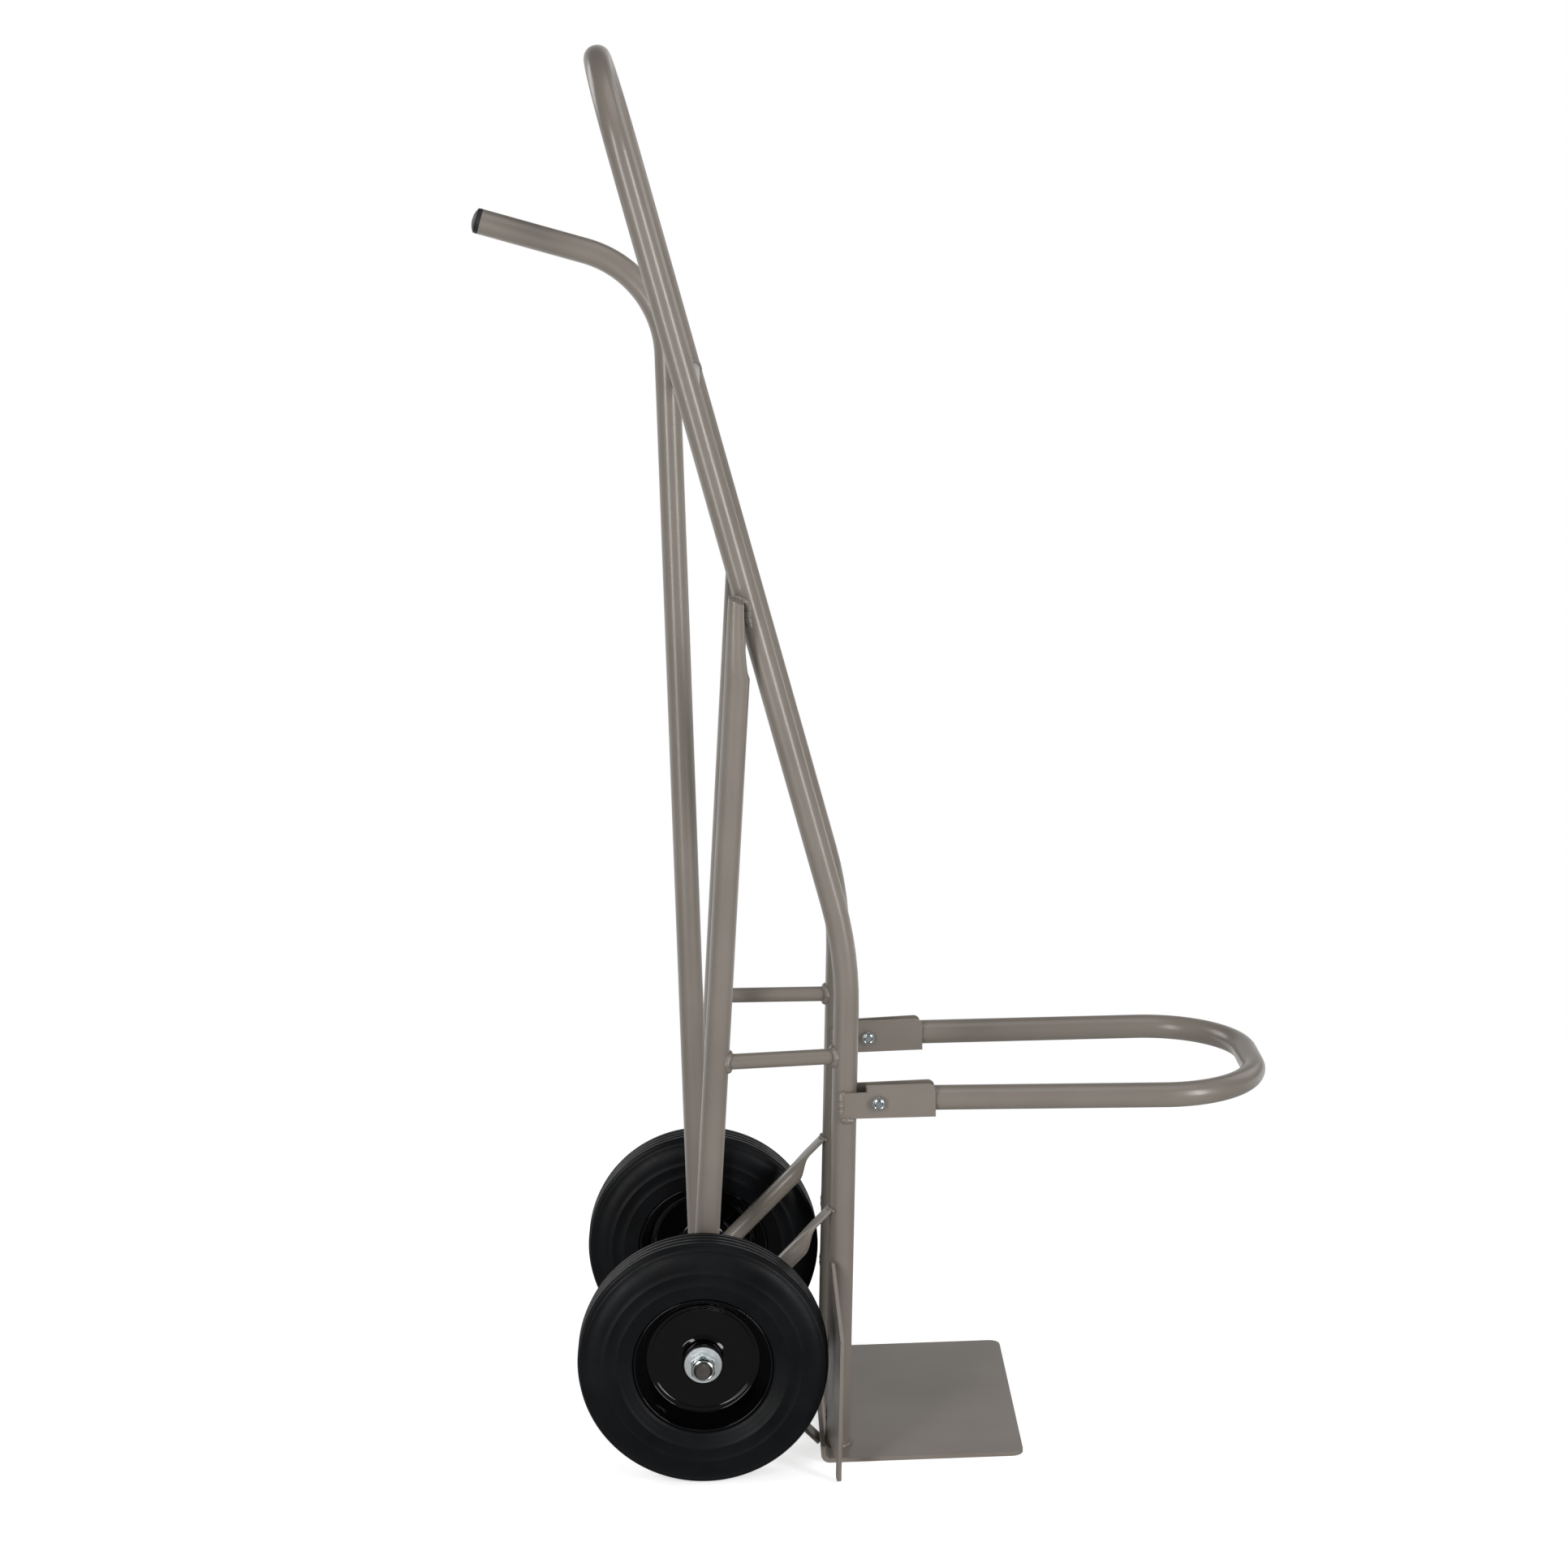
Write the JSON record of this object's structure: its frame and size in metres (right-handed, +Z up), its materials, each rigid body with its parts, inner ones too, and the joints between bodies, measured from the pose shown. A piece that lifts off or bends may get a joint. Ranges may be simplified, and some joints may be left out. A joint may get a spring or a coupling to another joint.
{
  "type": "chair dolly",
  "caption": "Upright tube-frame trolley for stacked chairs: wheels on an axle, a flat toe plate, a fold-up U-shaped arm and a bent-back pull handle.",
  "frame": {"origin": "on the floor at the middle of the whole dolly's bounding box", "axes": "+X forward over the toe plate and the swing arm, +Y to the left, +Z up"},
  "size_m": [0.7856, 0.435, 1.432],
  "materials": {
    "paint": "satin",
    "plastic": "matte",
    "zinc": "satin",
    "rubber": "matte",
    "gloss_black": "gloss"
  },
  "bodies": {
    "frame": {"main_hoop": "paint", "upper_crossbar": "paint", "pull_tube": "paint", "rear_brace_left": "paint", "rear_brace_right": "paint", "spacer_left": "paint", "spacer_right": "paint", "upper_strut_left": "paint", "upper_strut_right": "paint", "lower_strut_left": "paint", "lower_strut_right": "paint", "axle_tube": "paint", "toe_plate": "paint", "wing_left": "paint", "wing_right": "paint", "bracket_left": "paint", "bracket_right": "paint", "handle_plug": "plastic", "axle_rod": "zinc", "axle_washers": "zinc", "axle_nuts": "zinc", "pivot_bolts": "zinc", "pivot_nuts": "zinc"},
    "wheel_left": {"tyre_left": "rubber", "rim_outer_left": "gloss_black", "rim_inner_left": "gloss_black", "hub_left": "gloss_black", "bearings_left": "zinc"},
    "wheel_right": {"tyre_right": "rubber", "rim_outer_right": "gloss_black", "rim_inner_right": "gloss_black", "hub_right": "gloss_black", "bearings_right": "zinc"},
    "swing_arm": {"swing_arm": "paint"}
  },
  "joints": [
    {"name": "left_wheel_spin", "type": "hinge", "parent": "frame", "child": "wheel_left", "pos_m": [-0.20207, 0.175, 0.127], "axis": [0, 1, 0], "continuous": true},
    {"name": "right_wheel_spin", "type": "hinge", "parent": "frame", "child": "wheel_right", "pos_m": [-0.20207, -0.175, 0.127], "axis": [0, 1, 0], "continuous": true},
    {"name": "arm_fold", "type": "hinge", "parent": "frame", "child": "swing_arm", "pos_m": [-0.01549, 0, 0.377], "axis": [0, -1, 0], "range_deg": [0, 92]}
  ]
}
